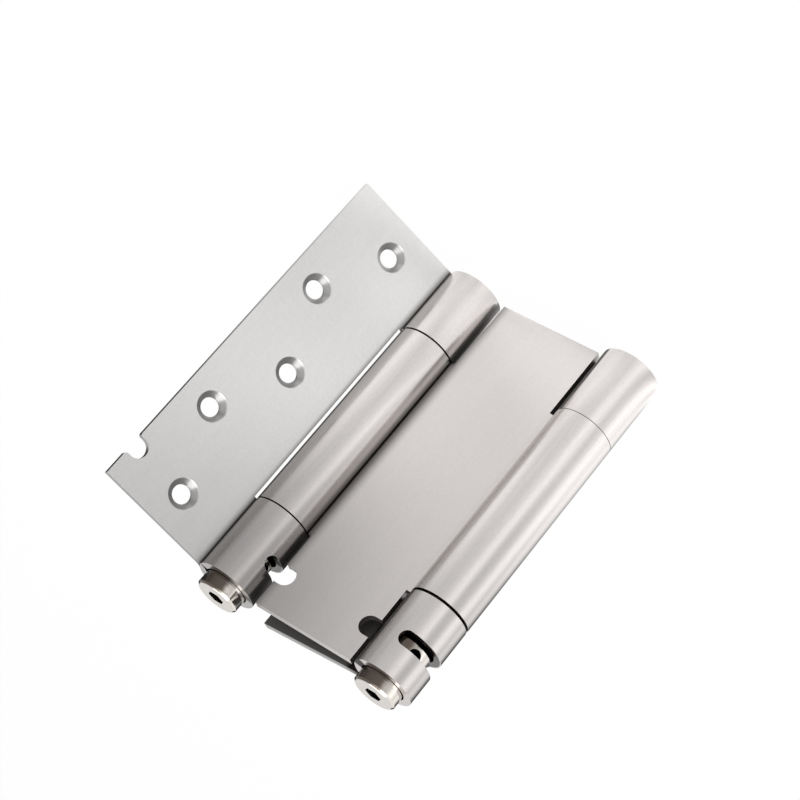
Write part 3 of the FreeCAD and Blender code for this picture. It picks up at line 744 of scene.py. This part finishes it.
def add_world():
    """White to the eye. In the metal it is pale overhead and uneven round the horizon."""
    world = bpy.data.worlds.new("studio")
    bpy.context.scene.world = world
    world.use_nodes = True
    studio = Finish("studio", world.node_tree)
    seen = studio.add("ShaderNodeLightPath", out=0)
    mirrored = studio.add("ShaderNodeLightPath", out=3)
    ahead = studio.add("ShaderNodeTexCoord", out=0)
    far = studio_round(studio, ahead)[1]
    height = studio.add("ShaderNodeSeparateXYZ", None, ahead, out=2)
    up = smooth_step(studio, height, *SKY_RISE)
    metal = far + (SKY_LEVEL - far) * up
    lit = SOFT_LEVEL + (metal - SOFT_LEVEL) * mirrored
    background = studio.add("ShaderNodeBackground", None, Color=WHITE,
                            Strength=lit + (1.0 - lit) * seen)
    studio.add("ShaderNodeOutputWorld", None, background)


def add_camera():
    """The camera that the photo was taken with, as fitted to its edges."""
    data = bpy.data.cameras.new("photo view")
    data.sensor_fit = "HORIZONTAL"
    data.sensor_width = SENSOR
    data.lens = FOCAL_PIXELS / IMAGE_PIXELS * SENSOR
    data.clip_start, data.clip_end = CAMERA_REACH
    camera = bpy.data.objects.new("photo view", data)
    camera.location = Vector(CAMERA_PLACE) * MM
    level = Vector(CAMERA_AHEAD).to_track_quat("-Z", "Y")
    camera.rotation_mode = "QUATERNION"
    camera.rotation_quaternion = level @ Quaternion((0.0, 0.0, 1.0), math.radians(CAMERA_ROLL))
    bpy.context.scene.collection.objects.link(camera)
    bpy.context.scene.camera = camera


class HINGE_OT_stage(bpy.types.Operator):
    """Set the pale floor, the soft lamps and the view"""
    bl_idname = "hinge.stage"
    bl_label = "Stage"

    def execute(self, context):
        settings = context.scene.hinge_stage
        add_world()
        add_floor(settings.floor_radius)
        add_lamp("overhead", KEY_PLACE, KEY_SIZE, settings.key_power)
        add_lamp("side", SIDE_PLACE, SIDE_SIZE, settings.side_power)
        add_camera()
        context.scene.view_settings.view_transform = "Standard"
        return {"FINISHED"}


class HINGE_PT_panel(bpy.types.Panel):
    """Buttons for the hinge's pieces, in the order they are made"""
    bl_idname = "HINGE_PT_panel"
    bl_label = "Spring hinge"
    bl_space_type = "VIEW_3D"
    bl_region_type = "UI"
    bl_category = "Hinge"

    def draw(self, context):
        for settings in (context.scene.hinge_finish, context.scene.hinge_stage):
            for name in settings.bl_rna.properties.keys():
                if name not in ("rna_type", "name"):
                    self.layout.prop(settings, name)
        for operator in OPERATORS:
            self.layout.operator(operator.bl_idname)


OPERATORS = (HINGE_OT_leaves, HINGE_OT_web, HINGE_OT_spindles, HINGE_OT_works, HINGE_OT_stage)
CLASSES = (HingeSettings, StageSettings) + OPERATORS + (HINGE_PT_panel,)


def register():
    """Make the panel, its buttons and their settings known to Blender."""
    for item in CLASSES:
        bpy.utils.register_class(item)
    bpy.types.Scene.hinge_finish = PointerProperty(type=HingeSettings)
    bpy.types.Scene.hinge_stage = PointerProperty(type=StageSettings)


def unregister():
    """Undo register."""
    del bpy.types.Scene.hinge_stage
    del bpy.types.Scene.hinge_finish
    for item in reversed(CLASSES):
        bpy.utils.unregister_class(item)


def main():
    """Make every piece and the stage."""
    register()
    for operator in OPERATORS:
        group, name = operator.bl_idname.split(".")
        getattr(getattr(bpy.ops, group), name)()


if __name__ == "__main__":
    main()
